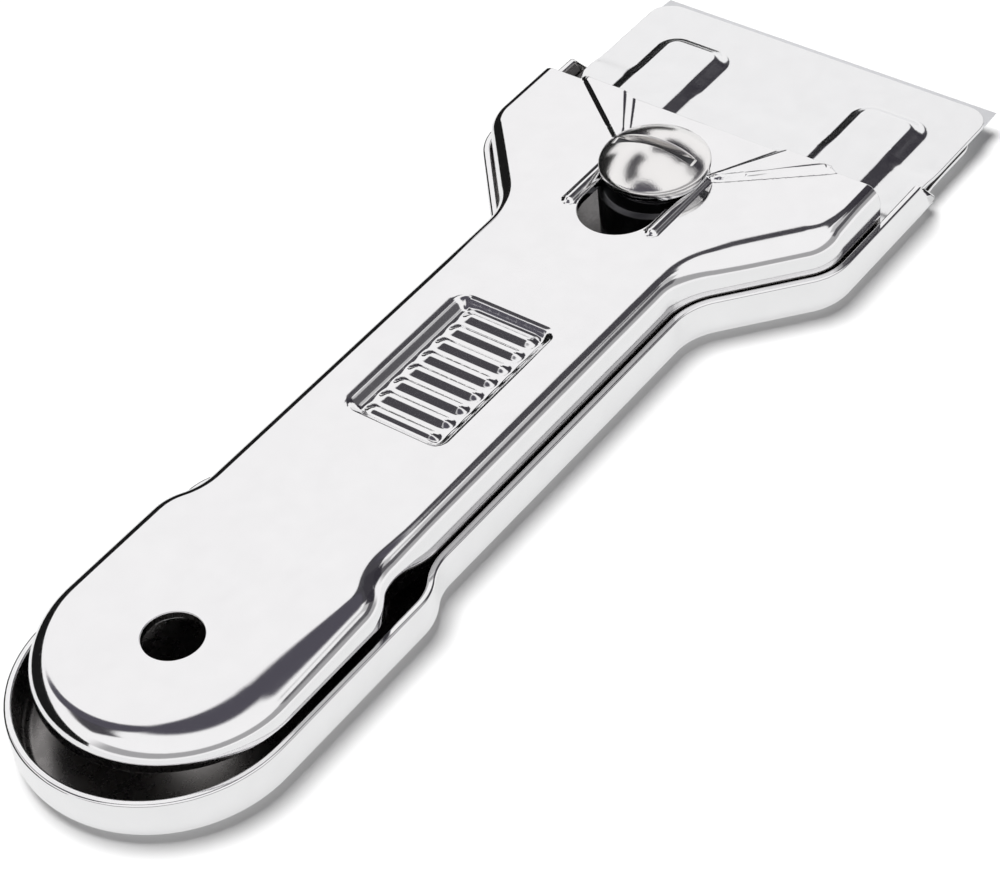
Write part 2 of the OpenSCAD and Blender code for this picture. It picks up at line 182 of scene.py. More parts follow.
def shell_moves(lobe, waist_run, handle, length, inset, ahead):
    """Runs (length, 0) and bends (radius, angle) of the left half of a shell's outline."""
    waist = (lobe - handle) / (2 * (1 - math.cos(waist_angle)))
    rise = 2 * flare_bend * (1 - math.cos(flare_angle))
    flare_run = ((head_width - handle_width) / 2 - rise) / math.sin(flare_angle)
    flare_reach = 2 * flare_bend * math.sin(flare_angle) + flare_run * math.cos(flare_angle)
    waist_end = ahead + waist_run + 2 * waist * math.sin(waist_angle)
    return [
        (lobe, -math.pi / 2),
        (waist_run - lobe, 0),
        (waist, -waist_angle),
        (waist, waist_angle),
        (flare_end - flare_reach - waist_end, 0),
        (flare_bend + inset, flare_angle),
        (flare_run, 0),
        (flare_bend - inset, -flare_angle),
        (length - flare_end, 0),
    ]


RUN_STEP = 1.5
BEND_STEP = math.radians(3.5)
FRONT_STEP = 0.3
SUPPORT = 0.25
WALL_ROWS = 3
HEAD_REACH = 4


def run_shares(length):
    count = max(2, math.ceil(length / RUN_STEP))
    near = SUPPORT / length
    return sorted({near, 1 - near, *(k / count for k in range(1, count + 1))})


def walk(start_x, moves):
    """Samples (x, y, heading) along the left half of an outline, from its rear point."""
    x, y, heading = start_x, 0.0, math.pi / 2
    samples = [(x, y, heading)]
    for size, angle in moves:
        if angle == 0:
            for share in run_shares(size):
                samples.append((x + size * share * math.cos(heading),
                                y + size * share * math.sin(heading), heading))
        else:
            count = math.ceil(abs(angle) / BEND_STEP)
            side = math.copysign(size, angle)
            for k in range(1, count + 1):
                turned = heading + angle * k / count
                samples.append((x - side * math.sin(heading) + side * math.sin(turned),
                                y + side * math.cos(heading) - side * math.cos(turned), turned))
        x, y, heading = samples[-1]
    return samples


def whole_outline(start_x, moves):
    """Samples (x, y, inward x, inward y) from the right front corner round the rear to the left one."""
    left = [(x, y, math.sin(h), -math.cos(h)) for x, y, h in walk(start_x, moves)]
    right = [(x, -y, ix, -iy) for x, y, ix, iy in left[:0:-1]]
    return right + left


def bend_section(width, fall, steps=20):
    """Pairs (inset, depth) from the wall to the flat: a quarter ellipse with a support on each side."""
    bend = []
    for k in range(steps + 1):
        turn = math.pi / 2 * (1 - k / steps)
        bend.append((width * (1 - math.sin(turn)), fall * (1 - math.cos(turn))))
    return [(0, fall + SUPPORT)] + bend + [(width + SUPPORT, 0), (width + 3 * SUPPORT, 0)]


def circle_points(x, y, radius, count):
    return [(x + radius * math.cos(2 * math.pi * k / count), y + radius * math.sin(2 * math.pi * k / count))
            for k in range(count)]


def slot_points(x0, x1, half, count):
    """Round-ended slot along x, as a closed loop."""
    ends = []
    for centre, start in ((x1, -math.pi / 2), (x0, math.pi / 2)):
        angles = [start + math.pi * k / count for k in range(count + 1)]
        ends += [(centre + half * math.cos(a), half * math.sin(a)) for a in angles]
    return ends


def grid_points(x0, x1, y0, y1, step):
    xs = np.linspace(x0, x1, max(2, round((x1 - x0) / step) + 1))
    ys = np.linspace(y0, y1, max(2, round((y1 - y0) / step) + 1))
    return [(x, y) for x in xs for y in ys]


INSIDE_ONLY = 1
SAME_POINT = 1e-7


def fill_plate(boundary, holes, loose):
    """Triangles of a flat region inside boundary and outside holes, through the loose points.

    Returns (points, triangles, place of each boundary point)."""
    points = list(boundary)
    edges = [(k, (k + 1) % len(boundary)) for k in range(len(boundary))]
    for loop in holes:
        first = len(points)
        points += loop
        edges += [(first + k, first + (k + 1) % len(loop)) for k in range(len(loop))]
    points += loose
    result = delaunay_2d_cdt([Vector(p) for p in points], edges, [], INSIDE_ONLY, SAME_POINT)
    out, _, faces, sources, _, _ = result
    loops = [np.array(loop) for loop in holes]
    kept = []
    flat = np.array([(p.x, p.y) for p in out])
    for face in faces:
        middle = flat[list(face)].mean(axis=0)
        if not any(inside(loop, middle) for loop in loops):
            kept.append(tuple(face))
    found = {}
    for place, origin in enumerate(sources):
        for index in origin:
            found.setdefault(index, place)
    return flat, kept, [found[k] for k in range(len(boundary))]


def inside(loop, point):
    """Whether a point lies in a closed loop, by the count of edges to its right."""
    after = np.roll(loop, -1, axis=0)
    crosses = (loop[:, 1] > point[1]) != (after[:, 1] > point[1])
    rise = np.where(crosses, after[:, 1] - loop[:, 1], 1)
    at = loop[:, 0] + (point[1] - loop[:, 1]) * (after[:, 0] - loop[:, 0]) / rise
    return bool(np.count_nonzero(crosses & (point[0] < at)) % 2)


def pressed_shell(start_x, moves, section_at, rim, front, height, holes, loose, upward):
    """Outer surface of a pressed tray. section_at gives the bend at each place, rim gives the wall's
    depth there, front gives where a depth's front end is, and height gives how far a point of the
    flat stands proud of it."""
    outline = whole_outline(start_x, moves)
    wall_top = section_at(0, 0)[0][1]
    columns = len(section_at(0, 0)) + WALL_ROWS
    flat_front = front(0)
    head_start = flat_front - HEAD_REACH
    points = []
    for x, y, ix, iy in outline:
        deepest = rim(x)
        depths = [deepest + (wall_top - deepest) * k / WALL_ROWS for k in range(WALL_ROWS)]
        for inset, depth in [(0, d) for d in depths] + section_at(x, y):
            px = x + ix * inset
            if px > head_start:
                px = head_start + (px - head_start) * (front(depth) - head_start) / HEAD_REACH
            points.append((px, y + iy * inset, depth))
    faces = []
    for i in range(len(outline) - 1):
        for j in range(columns - 1):
            a = i * columns + j
            faces.append((a, a + 1, a + columns + 1, a + columns))
    ring = [points[i * columns + columns - 1][:2] for i in range(len(outline))]
    left_y = ring[-1][1]
    count = round(2 * left_y / FRONT_STEP)
    front_line = [(flat_front, left_y - 2 * left_y * k / count) for k in range(1, count)]
    flat, triangles, places = fill_plate(ring + front_line, holes, loose)
    first = len(points)
    index = {}
    for i in range(len(outline)):
        index[places[i]] = i * columns + columns - 1
    for k, (x, y) in enumerate(flat):
        if k not in index:
            index[k] = first
            first += 1
            points.append((float(x), float(y), 0))
    faces += [tuple(index[k] for k in face) for face in triangles]
    turned = []
    for x, y, depth in points:
        rise = height(x, y) if depth == 0 else 0
        turned.append((x, y, case_height - depth + rise) if upward else (x, y, depth))
    return turned, [f if upward else f[::-1] for f in faces]


def smooth(t):
    t = min(1.0, max(0.0, t))
    return t * t * (3 - 2 * t)


def round_rect_distance(x, y, length, width, radius):
    """Distance outside a rounded rectangle about the origin, negative inside it."""
    dx = abs(x) - length / 2 + radius
    dy = abs(y) - width / 2 + radius
    return math.hypot(max(dx, 0), max(dy, 0)) + min(max(dx, dy), 0) - radius


def bump(distance, half, height, power=0.8):
    return height * (1 - (distance / half) ** 2) ** power if distance < half else 0.0


def grip_height_at(x, y):
    x -= grip_x
    away = round_rect_distance(x, y, grip_length, grip_width, grip_corner)
    if away > 0:
        return 0.0
    height = -grip_depth * smooth(-away / grip_slope)
    first = -grip_length / 2 + grip_margin + grip_rib
    pitch = -2 * first / (grip_ribs - 1)
    nearest = first + pitch * min(grip_ribs - 1, max(0, round((x - first) / pitch)))
    reach = grip_width / 2 - grip_margin - 2 * grip_rib
    beyond = max(abs(y) - reach, 0) / (2 * grip_rib)
    across = abs(x - nearest) / (pitch / 2)
    return height + grip_rib_height * (1 - smooth(math.hypot(across, beyond)))


def rail_height_at(x, y):
    beyond = max(rail_rear - x, x - rail_front, 0)
    return bump(math.hypot(beyond, abs(y) - rail_y), rail_half, rail_height)


def splay_at(x):
    """Share of the splay's length, its middle and its half width."""
    share = (x - rail_front) / (cover_front - rail_front)
    middle = rail_y + (rib_spacing / 2 - rail_y) * share
    half = rail_half + (splay_half - rail_half) * share
    return share, middle, half


def splay_height_at(x, y):
    share, middle, half = splay_at(x)
    if share <= 0:
        return 0.0
    from_inner = abs(y) - middle + half
    from_outer = middle + half - abs(y)
    inner = smooth(from_inner / (rail_half + (inner_flank - rail_half) * share))
    outer = smooth(from_outer / (rail_half + (outer_flank - rail_half) * share))
    start = rail_height + (splay_height - rail_height) * share
    return start * min(1.0, share / splay_rise) * min(inner, outer)


def cover_height_at(x, y):
    return max(splay_height_at(x, y), rail_height_at(x, y)) + grip_height_at(x, y)


# Materials

def new_material(name):
    material = bpy.data.materials.new(name)
    material.use_nodes = True
    nodes = material.node_tree.nodes
    return material, nodes, material.node_tree.links, nodes["Principled BSDF"]


def noise(nodes, links, coords, scale, detail=2.0, roughness=0.5):
    node = nodes.new("ShaderNodeTexNoise")
    node.inputs["Scale"].default_value = scale
    node.inputs["Detail"].default_value = detail
    node.inputs["Roughness"].default_value = roughness
    links.new(coords, node.inputs["Vector"])
    return node.outputs["Fac"]


def ramp(nodes, links, value, low, high):
    node = nodes.new("ShaderNodeMapRange")
    node.inputs["To Min"].default_value = low
    node.inputs["To Max"].default_value = high
    links.new(value, node.inputs["Value"])
    return node.outputs["Result"]


def bright_metal(name, colour, roughness, spread, ripple, pits, pit_scale):
    """Plated metal: a slow ripple left by pressing, fine pits and a roughness that varies.

    The depths of the ripple and the pits are in metres."""
    material, nodes, links, shader = new_material(name)
    coords = nodes.new("ShaderNodeTexCoord").outputs["Object"]
    shader.inputs["Metallic"].default_value = 1
    tint = nodes.new("ShaderNodeMix")
    tint.data_type = "RGBA"
    tint.inputs["A"].default_value = (*(c * 0.94 for c in colour), 1)
    tint.inputs["B"].default_value = (*colour, 1)
    links.new(noise(nodes, links, coords, scale=420, detail=4), tint.inputs["Factor"])
    links.new(tint.outputs["Result"], shader.inputs["Base Color"])
    worn = noise(nodes, links, coords, scale=900, detail=5, roughness=0.6)
    links.new(ramp(nodes, links, worn, roughness, roughness + spread), shader.inputs["Roughness"])
    normal = None
    for depth, scale, detail, rough in ((ripple, 130, 1, 0.5), (pits, pit_scale, 3, 0.6)):
        bumps = nodes.new("ShaderNodeBump")
        bumps.inputs["Strength"].default_value = 1
        bumps.inputs["Distance"].default_value = depth
        links.new(noise(nodes, links, coords, scale, detail, rough), bumps.inputs["Height"])
        if normal:
            links.new(normal, bumps.inputs["Normal"])
        normal = bumps.outputs["Normal"]
    links.new(normal, shader.inputs["Normal"])
    return material


chrome = bright_metal("chrome", (0.9, 0.9, 0.905), roughness=0.05, spread=0.08,
                      ripple=0.00003, pits=0.0000012, pit_scale=2600)
plated = bright_metal("bright_plate", (0.88, 0.885, 0.89), roughness=0.09, spread=0.09,
                      ripple=0.00002, pits=0.0000012, pit_scale=2600)
screw_chrome = bright_metal("screw_chrome", (0.88, 0.87, 0.86), roughness=0.1, spread=0.12,
                            ripple=0.00008, pits=0.000008, pit_scale=5000)
# Inner faces: a duller steel, darkened as painted shade inside the case and between the carrier plates.
painted_shade_inner = bright_metal("painted_shade_inner", (0.3, 0.29, 0.285), roughness=0.18, spread=0.2,
                           ripple=0.0001, pits=0.000002, pit_scale=3200)
# Near black steel: painted shade in the screw's slot, under its head and on the guide bush.
painted_shade_dark = bright_metal("painted_shade_dark", (0.09, 0.09, 0.095), roughness=0.25, spread=0.15,
                          ripple=0.00001, pits=0.000001, pit_scale=3200)
blade_steel = bright_metal("blade_steel", (0.72, 0.73, 0.75), roughness=0.16, spread=0.1,
                           ripple=0.00001, pits=0.000001, pit_scale=3200)


# Shells

def along(x, stops):
    """Value at x between (place, value) stops."""
    return float(np.interp(x, *zip(*stops)))


def cover_rim(x):
    """Depth of the cover's skirt: short round the rear end, and full from the waist on."""
    waist = rear + waist_start
    return along(x, [(waist - waist_lead, rear_skirt), (waist, case_height - tray_wall),
                     (waist + waist_lead, case_height - skirt_z)])


def cover_section_at(x, y):
    """The shoulder is widest at the right of the lobe, tight along the handle and wider on the flares."""
    waist = rear + waist_start
    flare = rear + flare_end
    right = along(x, [(rear + 2, 2.6), (rear + 13, 4.2), (waist - 15, 3.9), (waist - 7, 2.7),
                      (waist + 4, 1.6), (flare - 14, 1.6), (flare - 8, 3.0), (flare - 3, 3.0),
                      (flare + 2, 1.5)])
    left = along(x, [(rear + 2, 2.2), (rear + 13, 1.6)])
    blend_start, blend_end = -8, 4
    share = smooth((y - blend_start) / (blend_end - blend_start))
    return bend_section(right * (1 - share) + left * share, shoulder_fall)


def tray_front(depth):
    share = max(0, (depth - tray_bend) / (tray_wall - tray_bend))
    return mouth - wall_rake * share


# Grids of points on the cover's flat: ends in x, ends in y and a step. The last two are mirrored.
GRIP_GRID = (grip_x - grip_length / 2, grip_x + grip_length / 2, -grip_width / 2, grip_width / 2, 0.22)
GRIP_FRAME = (grip_x - grip_length / 2 - 0.5, grip_x + grip_length / 2 + 0.5,
              -grip_width / 2 - 0.5, grip_width / 2 + 0.5, 1)
RAIL_GRID = (rail_rear - 0.9, rail_front + 0.2, slot_half + 0.15, rail_y + 0.85, 0.14)
SPLAY_GRID = (rail_front + 0.3, cover_front - 0.2, 2.7, 15.3, 0.24)
# Where the grid stops and the fan of rows starts, as shares of the splay's length
GRID_STOP = 0.3
FAN_START = 0.32
FAN_ROOM = 0.15
FAN_ROWS = 36
FAN_LINES = 17


def feature_points():
    """Places on the cover's flat that carry its grip, rails and splays."""
    points = grid_points(*GRIP_GRID) + grid_points(*GRIP_FRAME)
    fan_rear = rail_front + FAN_START * (cover_front - rail_front)
    fan_front = SPLAY_GRID[1]
    for side in (-1, 1):
        points += [(x, side * y) for x, y in grid_points(*RAIL_GRID)]
        for x, y in grid_points(*SPLAY_GRID):
            share, middle, half = splay_at(x)
            if share < GRID_STOP or abs(y - middle) > half + FAN_ROOM:
                points.append((x, side * y))
        for x in np.linspace(fan_rear, fan_front, FAN_ROWS):
            _, middle, half = splay_at(float(x))
            points += [(float(x), side * float(middle + half * u)) for u in np.linspace(-1, 1, FAN_LINES)]
    return points


HOLE_SIDES = 56
HOLE_SUPPORT = 0.3
SLOT_SUPPORT = 0.12
SLOT_SIDES = 24
# Feature points within this room of the slot's sides, and this reach of its ends' centres, are left out
SLOT_ROOM = 0.1
SLOT_REACH = 5


def make_shells():
    tray_moves = shell_moves(lobe_width / 2, waist_start, handle_width / 2, mouth - rear, inset=0, ahead=0)
    hole = circle_points(hole_x, 0, hole_radius, HOLE_SIDES)
    near_hole = circle_points(hole_x, 0, hole_radius + HOLE_SUPPORT, HOLE_SIDES)
    points, faces = pressed_shell(
        rear, tray_moves, lambda x, y: bend_section(tray_bend, tray_bend), lambda x: tray_wall, tray_front,
        lambda x, y: 0.0, [hole], near_hole, upward=False)
    add_mesh("lower_shell", points, faces, chrome, "case", "bottom_shell", sheet, rounding=0.25, segments=4)

    ahead = cover_rear - rear
    cover_moves = shell_moves(lobe_width / 2 - cover_inset, waist_start - waist_lead - ahead,
                              handle_width / 2 - cover_inset, cover_front - rear, cover_inset, ahead)
    slot_rear = screw_x - travel
    slot = slot_points(slot_rear, screw_x, slot_half, SLOT_SIDES)
    loose = near_hole + slot_points(slot_rear, screw_x, slot_half + SLOT_SUPPORT, SLOT_SIDES)
    for x, y in feature_points():
        beside_slot = abs(y) >= slot_half + SLOT_ROOM
        if beside_slot or not slot_rear - SLOT_REACH < x < screw_x + SLOT_REACH:
            loose.append((x, y))
    points, faces = pressed_shell(
        cover_rear, cover_moves, cover_section_at, cover_rim, lambda depth: cover_front,
        cover_height_at, [hole, slot], loose, upward=True)
    add_mesh("cover", points, faces, chrome, "case", "top_shell", sheet, rounding=0.1)


# Blade carrier

plate = 0.4
carrier_half = span("carrier_upper_plate", 1)[1]
tongue_rear = span("carrier_upper_plate", 0)[0]
upper_front = span("carrier_upper_plate", 0)[1]
lower_front = span("carrier_lower_plate", 0)[1]
tongue_half = 8
jaw_length = 20
jaw_rear = upper_front - jaw_length
taper = 8.5
corner = 2.5
tongue_corner = 3
channel_depth = 0.29
blade_room = 0.3
channel_length = 5.2
channel_rear = span("razor_blade", 0)[0] - blade_room
channel_front = channel_rear + channel_length
channel_ramp = 2.6
rib_width = 8.4
rib_height = 0.7
rib_ramp = 1.6
rib_corner = 2.4
rib_setback = 5.4
rib_lead = 0.5
rib_front = edge - rib_setback
rib_rear = channel_rear - rib_lead - rib_ramp
upper_top = span("carrier_upper_plate", 2)[1] - rib_height
lower_z = span("carrier_lower_plate", 2)[0] + channel_depth
bush_hole = 3
bush_sides = 40


def arc(x, y, radius, start, end, count=10):
    return [(x + radius * math.cos(start + (end - start) * k / count),
             y + radius * math.sin(start + (end - start) * k / count)) for k in range(count + 1)]


def line(p, q, step=1.5):
    count = max(1, round(math.dist(p, q) / step))
    return [(p[0] + (q[0] - p[0]) * k / count, p[1] + (q[1] - p[1]) * k / count) for k in range(1, count)]


def carrier_loop(front):
    """Outline of a carrier plate, anticlockwise, from the rear of the tongue's right side."""
    right = math.radians(90)
    corners = [
        arc(tongue_rear + tongue_corner, -tongue_half + tongue_corner, tongue_corner, 2 * right, 3 * right),
        [(jaw_rear - taper, -tongue_half)],
        [(jaw_rear, -carrier_half)],
        arc(front - corner, -carrier_half + corner, corner, -right, 0),
        arc(front - corner, carrier_half - corner, corner, 0, right),
        [(jaw_rear, carrier_half)],
        [(jaw_rear - taper, tongue_half)],
        arc(tongue_rear + tongue_corner, tongue_half - tongue_corner, tongue_corner, right, 2 * right),
    ]
    loop = []
    for piece, after in zip(corners, corners[1:] + corners[:1]):
        loop += piece + line(piece[-1], after[0])
    return loop


def channel_at(x):
    share = min(x - channel_rear, channel_front - x) / channel_ramp + 1
    return channel_depth * smooth(share)


def upper_plate_at(x, y):
    """Height of the channel over the blade, with the two ribs rising out of it."""
    away = -round_rect_distance(x - (rib_front + rib_rear) / 2, abs(y) - rib_spacing / 2,
                                rib_front - rib_rear, rib_width, rib_corner)
    share = smooth(away / rib_ramp)
    return channel_at(x) * (1 - share) + rib_height * share


def carrier_sheet(name, node, front, base, height_at, upward):
    """A carrier plate, with points close together on its ribs and channel."""
    loop = carrier_loop(front)
    jaw_half = carrier_half - 0.3
    rib_half = rib_width / 2 + 0.2
    # Grids of points, as ends in x, ends in y and a step
    grids = [(tongue_rear + 4, jaw_rear - 3, -tongue_half + 1.5, tongue_half - 1.5, 2),
             (channel_rear - 1, front - 0.3, -jaw_half, jaw_half, 1)]
    for middle in (-rib_spacing / 2, rib_spacing / 2):
        grids.append((rib_rear - 0.2, rib_front + 0.2, middle - rib_half, middle + rib_half, 0.19))
    grids.append((channel_rear - channel_ramp, channel_front + channel_ramp, -jaw_half, jaw_half, 0.4))
    outline = np.array(loop)
    loose = [p for grid in grids for p in grid_points(*grid) if inside(outline, p)]
    bush = circle_points(screw_x, 0, bush_hole, bush_sides)
    flat, faces, _ = fill_plate(loop, [bush], loose)
    points = [(float(x), float(y), base + height_at(float(x), float(y))) for x, y in flat]
    if not upward:
        faces = [face[::-1] for face in faces]
    add_mesh(name, points, faces, plated, "carrier", node, plate, rounding=0.06)


def make_carrier():
    carrier_sheet("upper_plate", "carrier_upper_plate", upper_front, upper_top, upper_plate_at, upward=True)
    carrier_sheet("lower_plate", "carrier_lower_plate", lower_front, lower_z,
                  lambda x, y: -channel_at(x), upward=False)


# Turned pieces

SIDE_PARTS = 2.2
AXIS_RADIUS = 0.002


def rounded(profile, radius, steps=5):
    """A profile of (r, z) points with each inner corner rounded off."""
    out = [profile[0]]
    for before, at, after in zip(profile, profile[1:], profile[2:]):
        a = np.array(before, float)
        b = np.array(at, float)
        c = np.array(after, float)
        length_a = np.linalg.norm(a - b)
        length_c = np.linalg.norm(c - b)
        cut = min(radius, length_a / SIDE_PARTS, length_c / SIDE_PARTS)
        p = b + (a - b) / length_a * cut
        q = b + (c - b) / length_c * cut
        for k in range(steps + 1):
            t = k / steps
            out.append(tuple((1 - t) ** 2 * p + 2 * t * (1 - t) * b + t * t * q))
    out.append(profile[-1])
    return out


def turned(name, node, body, x, y, profile, radius, material, closed, count=96):
    """Revolves a profile of (r, z) points. A closed one is a ring.

    An open one starts and ends on the axis."""
    loop = rounded(profile, radius)
    points = []
    for r, z in loop:
        points += [(px, py, float(z)) for px, py in circle_points(x, y, max(float(r), AXIS_RADIUS), count)]
    faces = []
    for j in range(len(loop) - 1):
        for k in range(count):
            a = j * count + k
            b = j * count + (k + 1) % count
            faces.append((a, b, b + count, a + count))
    if not closed:
        faces.append(tuple(range(count))[::-1])
        faces.append(tuple(range(len(points) - count, len(points))))
    add_mesh(name, points, faces, material, body, node)


def ring_profile(profile):
    """Starts and ends a ring's profile in the middle of its first side, so that all corners round."""
    first = tuple((a + b) / 2 for a, b in zip(profile[0], profile[1]))
    return [first] + profile[1:] + [profile[0], first]


def make_turned():
    bore = 2.5
    low, high = span("washer", 2)
    left, right = span("washer", 0)
    outer = (right - left) / 2
    profile = [(bore, low), (outer, low), (outer, high), (bore, high)]
    turned("washer_ring", "washer", "washer", screw_x, 0, ring_profile(profile),
           radius=0.12, material=chrome, closed=True)

    gap = 0.02
    foot = lower_z - gap
    seat = upper_top + gap
    cover_gap = 0.05
    top = case_height - sheet - cover_gap
    low, high = span("guide_bush", 2)
    collar, waist, flange, neck = 4.2, 2.9, 5.5, 3.7
    bevel = 0.4
    profile = [(bore, low), (collar, low), (collar, foot), (waist, foot), (waist, seat),
               (flange - bevel, seat), (flange, seat + bevel), (flange, top - bevel), (flange - bevel, top),
               (neck, top), (neck, high), (bore, high)]
    # The bush is near black: painted shade under the screw head and in the slot.
    turned("bush", "guide_bush", "carrier", screw_x, 0, ring_profile(profile),
           radius=0.1, material=painted_shade_dark, closed=True)

    head, shank, dome = 2.1, 1.2, 0.6
    steps = 8
    for node in ("rivet_left", "rivet_right"):
        x = sum(span(node, 0)) / 2
        y = sum(span(node, 1)) / 2
        low, high = span(node, 2)
        profile = [(0, low), (head, low), (head, foot), (shank, foot), (shank, seat), (head, seat)]
        for k in range(steps, -1, -1):
            a = math.pi / 2 * k / steps
            profile.append((head * math.sin(a), high - dome + dome * math.cos(a)))
        turned("dome_" + node, node, "carrier", x, y, profile,
               radius=0.08, material=plated, closed=False, count=48)


# Clamp screw

def make_screw():
    low, high = span("clamp_screw", 2)
    left, right = span("clamp_screw", 0)
    radius = (right - left) / 2
    dome_height = 2
    rim = 0.65
    slot_width = 1
    slot_depth = 1.2
    slot_turn = math.radians(6)
    slot_edge = 0.12
    edge_round = 0.22
    shank = 2.45
    fillet = 0.15
    tip = 0.5
    dome_base = high - dome_height
    ball = (radius ** 2 + dome_height ** 2) / (2 * dome_height)
    top_radius = radius - edge_round

    def dome(r):
        return high - ball + math.sqrt(ball ** 2 - r ** 2)

    wall = slot_width / 2
    lip = wall + slot_edge
    floor = high - slot_depth
    reach = math.sqrt(ball ** 2 - (floor - high + ball) ** 2 - lip ** 2)
    half_count = 40
    stations = [reach * math.sin(math.pi / 2 * k / half_count) for k in range(-half_count, half_count + 1)]
    # Places across the slot with the share of its depth that each lies at
    across = [(-lip, 0), (-wall - 0.6 * slot_edge, 0.03), (-wall - 0.2 * slot_edge, 0.09), (-wall, 0.2),
              (-wall, 0.9), (-wall + 0.06, 1), (0, 1), (wall - 0.06, 1), (wall, 0.9), (wall, 0.2),
              (wall + 0.2 * slot_edge, 0.09), (wall + 0.6 * slot_edge, 0.03), (lip, 0)]

    def turn(u, v, angle=slot_turn):
        return u * math.cos(angle) - v * math.sin(angle), u * math.sin(angle) + v * math.cos(angle)

    count = 120
    ring_count = 26
    first_ring = 0.5
    rings = [circle_points(0, 0, r, count) for r in np.linspace(first_ring, top_radius, ring_count)]
    boundary = rings.pop()
    inner = sorted({u for u, _ in across})
    loop = [turn(lip, v) for v in stations] + [turn(u, reach) for u in inner[-2:0:-1]]
    loop += [turn(-lip, v) for v in stations[::-1]] + [turn(u, -reach) for u in inner[1:-1]]

    slot_room = 0.08

    def clear_of_slot(x, y):
        u, v = turn(x, y, -slot_turn)
        return abs(u) > lip + slot_room or abs(v) > reach + slot_room

    loose = [p for ring in rings for p in ring if clear_of_slot(*p)]
    lip_support = 0.05
    for side in (-1, 1):
        loose += [turn(side * (lip + lip_support), v) for v in stations[2:-2]]
    flat, faces, places = fill_plate(boundary, [loop], loose)
    points = [(screw_x + float(x), float(y), dome(math.hypot(x, y))) for x, y in flat]
    columns = []
    for v in stations:
        column = []
        for u, share in across:
            x, y = turn(u, v)
            if abs(u) == lip or abs(v) == reach:
                column.append(int(np.hypot(flat[:, 0] - x, flat[:, 1] - y).argmin()))
                continue
            top = dome(math.hypot(x, y))
            column.append(len(points))
            points.append((screw_x + x, y, top - share * max(0, top - floor)))
        columns.append(column)
    for now, after in zip(columns, columns[1:]):
        for a, b, c, d in zip(now, now[1:], after[1:], after):
            face = tuple(dict.fromkeys((a, b, c, d)))
            if len(face) > 2:
                faces.append(face)
    under = dome_base - rim
    # From the edge of the dome, down the rim and the shank to its end
    down = [(radius - edge_round * 0.3, dome_base + 0.03), (radius, dome_base - 0.12),
            (radius, under + fillet), (radius - 0.05, under + 0.05), (radius - fillet, under),
            (shank + fillet, under), (shank, under - 0.1), (shank, low + tip), (shank - tip, low)]
    before = places
    for r, z in down:
        first = len(points)
        points += [(screw_x + x, y, z) for x, y in circle_points(0, 0, r, count)]
        now = list(range(first, first + count))
        for k in range(count):
            after = (k + 1) % count
            faces.append((before[after], before[k], now[k], now[after]))
        before = now
    faces.append(tuple(before[::-1]))
    screw = add_mesh("screw", points, faces, screw_chrome, "screw", "clamp_screw")
    # Faces deep in the slot and on the shank under the head are near black: painted shade.
    screw.data.materials.append(painted_shade_dark)
    painted_shade_index = 1
    for face in screw.data.polygons:
        middle = face.center / MM
        x = middle.x - screw_x
        across_slot = abs(turn(x, middle.y, -slot_turn)[0])
        in_slot = across_slot < wall - 0.01 and middle.z < dome(math.hypot(x, middle.y)) - slot_edge
        if in_slot or middle.z < under - 0.05:
            face.material_index = painted_shade_index


make_shells()
make_carrier()
make_turned()
make_screw()

for name in ("razor_blade", "blade_spine"):
    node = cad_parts[name]
    if not node.material_slots:
        node.data.materials.append(blade_steel)
    for slot in node.material_slots:
        slot.link = "OBJECT"
        slot.material = blade_steel


# Floor, world, cards and lamp

def math_node(nodes, links, operation, a, b):
    node = nodes.new("ShaderNodeMath")
    node.operation = operation
    for k, value in enumerate((a, b)):
        if isinstance(value, (int, float)):
            node.inputs[k].default_value = value
        else:
            links.new(value, node.inputs[k])
    return node.outputs[0]


def soft_step(nodes, links, value, low, high):
    node = nodes.new("ShaderNodeMapRange")
    node.interpolation_type = "SMOOTHSTEP"
    node.inputs["From Min"].default_value = low
    node.inputs["From Max"].default_value = high
    links.new(value, node.inputs["Value"])
    return node.outputs["Result"]


def mixed_shader(nodes, links, share, first, second):
    mixed = nodes.new("ShaderNodeMixShader")
    links.new(share, mixed.inputs["Fac"])
    links.new(first, mixed.inputs[1])
    links.new(second, mixed.inputs[2])
    return mixed.outputs[0]


def make_floor():
    """A matt pale floor. The metal mirrors it at a nearly even brightness, in the shadow too."""
    mesh = bpy.data.meshes.new("floor")
    reach = 3
    mesh.from_pydata([(-reach, -reach, 0), (reach, -reach, 0), (reach, reach, 0), (-reach, reach, 0)], [],
                     [(0, 1, 2, 3)])
    floor = bpy.data.objects.new("floor", mesh)
    floor.location.z = -0.0002
    bpy.context.collection.objects.link(floor)
    material, nodes, links, shader = new_material("floor")
    shader.inputs["Base Color"].default_value = (0.8, 0.8, 0.8, 1)
    shader.inputs["Roughness"].default_value = 1
    shader.inputs["Specular IOR Level"].default_value = 0
    path = nodes.new("ShaderNodeLightPath")
    pale = nodes.new("ShaderNodeEmission")
    pale.inputs["Strength"].default_value = 0.88
    mirrored_share = 0.85
    share = math_node(nodes, links, "MULTIPLY", path.outputs["Is Glossy Ray"], mirrored_share)
    links.new(mixed_shader(nodes, links, share, shader.outputs[0], pale.outputs[0]),
              nodes["Material Output"].inputs["Surface"])
    mesh.materials.append(material)


# Lowest and highest elevation, fade, azimuth, spread and side fade in degrees, then strength
STUDIO_CARDS = (
    (46, 58, 3, 7, 29, 4, 0.94),
    (30, 50, 4, 0, 21, 4, 0.96),
    (26, 46, 5, -22, 10, 3, 0.97),
    (26, 38, 3, -42, 16, 4, 0.9),
    (39, 49, 4, -38, 9, 4, 0.45),
    (14, 36, 5, -115, 75, 20, 0.6),
    (54, 66, 4, 98, 34, 8, 0.94),
    (6, 20, 4, 45, 5, 3, 0.97),
)


